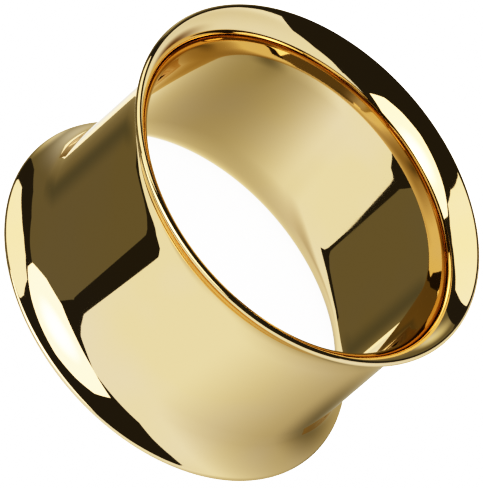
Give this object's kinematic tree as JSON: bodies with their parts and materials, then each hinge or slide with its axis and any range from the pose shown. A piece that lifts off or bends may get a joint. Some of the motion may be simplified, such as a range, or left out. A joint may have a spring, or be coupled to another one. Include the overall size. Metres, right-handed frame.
{
  "type": "ear tunnel",
  "caption": "Double-flared ear tunnel: a thin polished metal tube, open right through, with a straight waist for the stretched earlobe and a trumpet-curled rim at each end.",
  "frame": {"origin": "on the tube's axis, level with the edge of the lower rim that it stands on", "axes": "+Z along the tube's axis, from the lower rim to the upper rim; X and Y are any two directions across it, because the tube is round"},
  "size_m": [0.0178, 0.0178, 0.0103],
  "materials": {
    "gold_plate": "mirror-polished gold-coloured plating on stainless steel"
  },
  "bodies": {
    "root": {"tunnel": "gold_plate"}
  },
  "joints": []
}
